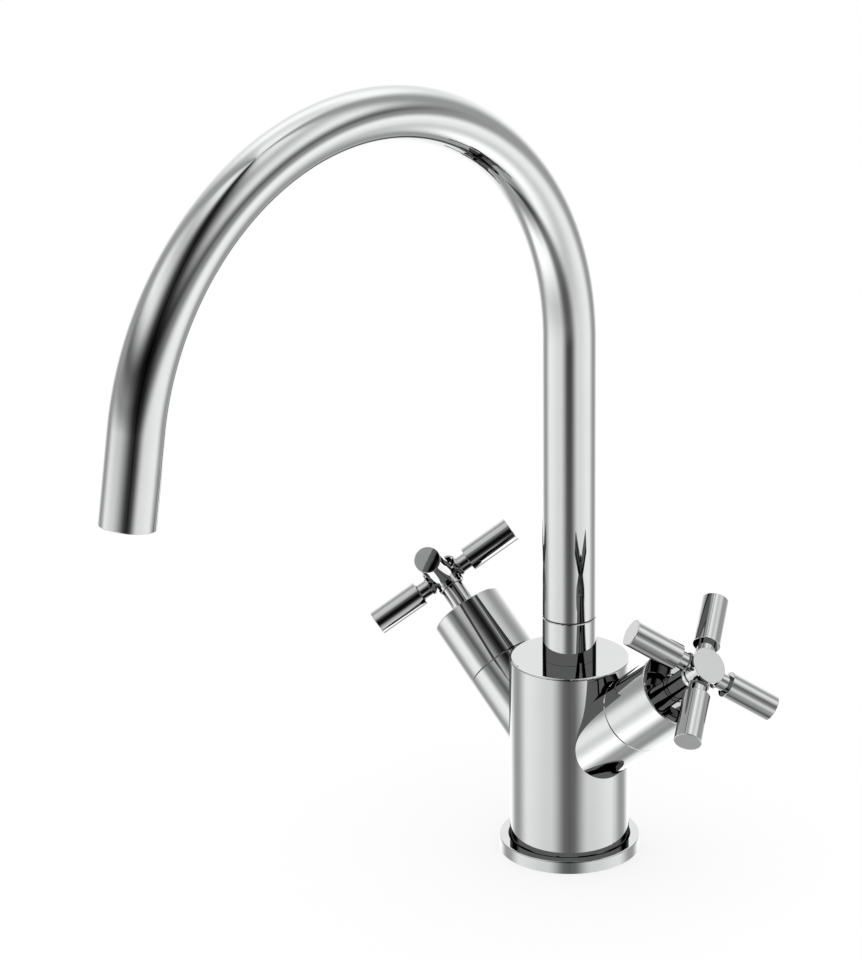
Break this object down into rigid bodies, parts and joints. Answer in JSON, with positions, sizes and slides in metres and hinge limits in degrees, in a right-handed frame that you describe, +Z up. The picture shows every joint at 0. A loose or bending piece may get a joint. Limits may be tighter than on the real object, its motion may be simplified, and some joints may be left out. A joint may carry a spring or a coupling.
{
  "type": "kitchen mixer tap",
  "caption": "Single-hole kitchen mixer tap in chrome: round body, swivelling swan-neck spout, and slanted hot and cold valves turned by cross handles.",
  "frame": {"origin": "middle of the underside, on the worktop plane and on the body's upright axis", "axes": "+Z up along the body and the spout's riser, -Y towards the spout's outlet and the user, -X towards the hot valve, +X towards the cold valve"},
  "size_m": [0.1876, 0.2696, 0.3446],
  "materials": {
    "chrome_plate": "polished chrome plate on brass",
    "bare_brass": "turned brass, uncoated",
    "black_rubber": "smooth black rubber",
    "black_nylon": "black glide nylon",
    "grey_plastic": "moulded grey plastic",
    "white_ceramic": "lapped white ceramic",
    "stainless_steel": "plain stainless steel"
  },
  "bodies": {
    "tap_body": {"mixer_body": "chrome_plate", "base_ring": "chrome_plate", "spout_collar": "chrome_plate", "base_seal": "black_rubber", "spout_seam_ring": "black_nylon", "spout_glide_washers": "black_nylon", "hot_valve_shroud": "chrome_plate", "hot_stem_bush": "chrome_plate", "hot_cartridge_body": "bare_brass", "hot_cartridge_o_ring": "black_rubber", "hot_seat_seal": "black_rubber", "hot_fixed_disc": "white_ceramic", "cold_valve_shroud": "chrome_plate", "cold_stem_bush": "chrome_plate", "cold_cartridge_body": "bare_brass", "cold_cartridge_o_ring": "black_rubber", "cold_seat_seal": "black_rubber", "cold_fixed_disc": "white_ceramic"},
    "spout": {"spout_tube": "chrome_plate", "spout_tailpiece": "bare_brass", "tailpiece_o_rings": "black_rubber", "aerator_insert": "bare_brass", "aerator_housing": "grey_plastic", "aerator_grid": "grey_plastic", "aerator_strainer": "stainless_steel", "aerator_seal": "black_rubber"},
    "hot_handle": {"hot_handle_hub": "chrome_plate", "hot_handle_spoke_1": "chrome_plate", "hot_handle_spoke_2": "chrome_plate", "hot_handle_spoke_3": "chrome_plate", "hot_handle_spoke_4": "chrome_plate", "hot_hub_cap": "chrome_plate", "hot_handle_screw": "stainless_steel", "hot_spindle": "bare_brass", "hot_moving_disc": "white_ceramic", "hot_spindle_o_ring": "black_rubber", "hot_spindle_circlip": "stainless_steel"},
    "cold_handle": {"cold_handle_hub": "chrome_plate", "cold_handle_spoke_1": "chrome_plate", "cold_handle_spoke_2": "chrome_plate", "cold_handle_spoke_3": "chrome_plate", "cold_handle_spoke_4": "chrome_plate", "cold_hub_cap": "chrome_plate", "cold_handle_screw": "stainless_steel", "cold_spindle": "bare_brass", "cold_moving_disc": "white_ceramic", "cold_spindle_o_ring": "black_rubber", "cold_spindle_circlip": "stainless_steel"}
  },
  "joints": [
    {"name": "spout_swivel", "type": "hinge", "parent": "tap_body", "child": "spout", "pos_m": [0, 0, 0.1025], "axis": [0, 0, 1], "continuous": true},
    {"name": "hot_handle_turn", "type": "hinge", "parent": "tap_body", "child": "hot_handle", "pos_m": [0, 0, 0.0382], "axis": [-0.766, 0, 0.6428], "range_deg": [0, 90]},
    {"name": "cold_handle_turn", "type": "hinge", "parent": "tap_body", "child": "cold_handle", "pos_m": [0, 0, 0.0382], "axis": [-0.766, 0, -0.6428], "range_deg": [0, 90]}
  ]
}
